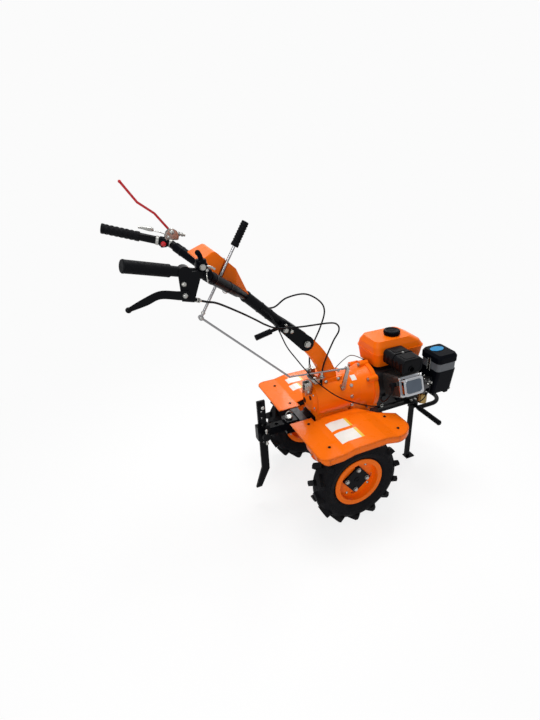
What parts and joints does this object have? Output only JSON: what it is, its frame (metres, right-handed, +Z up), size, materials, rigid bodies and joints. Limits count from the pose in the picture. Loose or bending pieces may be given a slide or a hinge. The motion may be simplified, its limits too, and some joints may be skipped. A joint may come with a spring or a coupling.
{
  "type": "walking tractor",
  "caption": "Two-wheeled walking tractor with a petrol engine on a frame, gear case over driven lugged wheels, fenders, front stand, rear coulter bar and a tilting handlebar.",
  "frame": {"origin": "floor level, at the middle of the machine's footprint box", "axes": "+X forward to the engine end, +Y to the machine's left, +Z up"},
  "size_m": [1.3831, 0.724, 1.413],
  "materials": {
    "orange_paint": "gloss",
    "black_paint": "satin",
    "zinc": "satin",
    "rubber_grip": "matte",
    "tyre_rubber": "matte",
    "red_paint": "gloss",
    "black_plastic": "matte",
    "grey_plastic": "matte",
    "cast_alloy": "satin",
    "chrome_cover": "gloss",
    "brass_bowl": "satin"
  },
  "bodies": {
    "chassis": {"gearbox": "orange_paint", "clutch_housing": "orange_paint", "handle_post": "orange_paint", "engine_frame": "black_paint", "front_bumper": "black_paint", "fender_left": "orange_paint", "fender_right": "orange_paint", "fender_bars": "zinc", "hitch_bracket": "black_paint", "drawbar": "black_paint", "selector_arm": "zinc", "engine_block": "cast_alloy", "cylinder_head": "cast_alloy", "valve_cover": "chrome_cover", "muffler": "black_paint", "air_base": "black_plastic", "air_band": "grey_plastic", "air_cover": "black_plastic", "carburettor": "brass_bowl", "fuel_tank": "orange_paint", "fuel_cap": "black_plastic", "fan_housing": "black_plastic", "recoil_starter": "black_plastic", "clutch_cable": "rubber_grip", "reverse_cable": "rubber_grip", "throttle_cable": "rubber_grip"},
    "wheel_left": {"axle_left": "black_paint", "rim_left": "orange_paint", "tyre_left": "tyre_rubber"},
    "wheel_right": {"axle_right": "black_paint", "rim_right": "orange_paint", "tyre_right": "tyre_rubber"},
    "stand": {"front_stand": "black_paint"},
    "handlebar": {"handlebar_fork": "black_paint", "pivot_bolt": "zinc", "clamp_lever": "black_paint", "handle_tube": "black_paint", "console_cover": "orange_paint", "grip_left": "rubber_grip", "grip_right": "rubber_grip", "clutch_lever": "red_paint", "clutch_bracket": "zinc", "reverse_lever": "black_paint", "reverse_bracket": "black_paint", "throttle_control": "black_plastic", "stop_switch": "red_paint", "gear_lever": "zinc", "gear_link": "zinc"},
    "coulter": {"coulter": "zinc"}
  },
  "joints": [
    {"name": "left_wheel_spin", "type": "hinge", "parent": "chassis", "child": "wheel_left", "pos_m": [0.08798, 0.264, 0.207], "axis": [0, 1, 0], "continuous": true},
    {"name": "right_wheel_spin", "type": "hinge", "parent": "chassis", "child": "wheel_right", "pos_m": [0.08798, -0.264, 0.207], "axis": [0, 1, 0], "continuous": true},
    {"name": "stand_fold", "type": "hinge", "parent": "chassis", "child": "stand", "pos_m": [0.55798, -0.045, 0.338], "axis": [0, 1, 0], "range_deg": [0, 80]},
    {"name": "handlebar_tilt", "type": "hinge", "parent": "chassis", "child": "handlebar", "pos_m": [-0.02437, 0, 0.7874], "axis": [0, 1, 0], "range_deg": [-20, 5], "deforming": ["clutch_cable", "reverse_cable", "throttle_cable"]},
    {"name": "coulter_height", "type": "slide", "parent": "chassis", "child": "coulter", "axis": [0, 0, 1], "range_m": [-0.08, 0.08]}
  ]
}
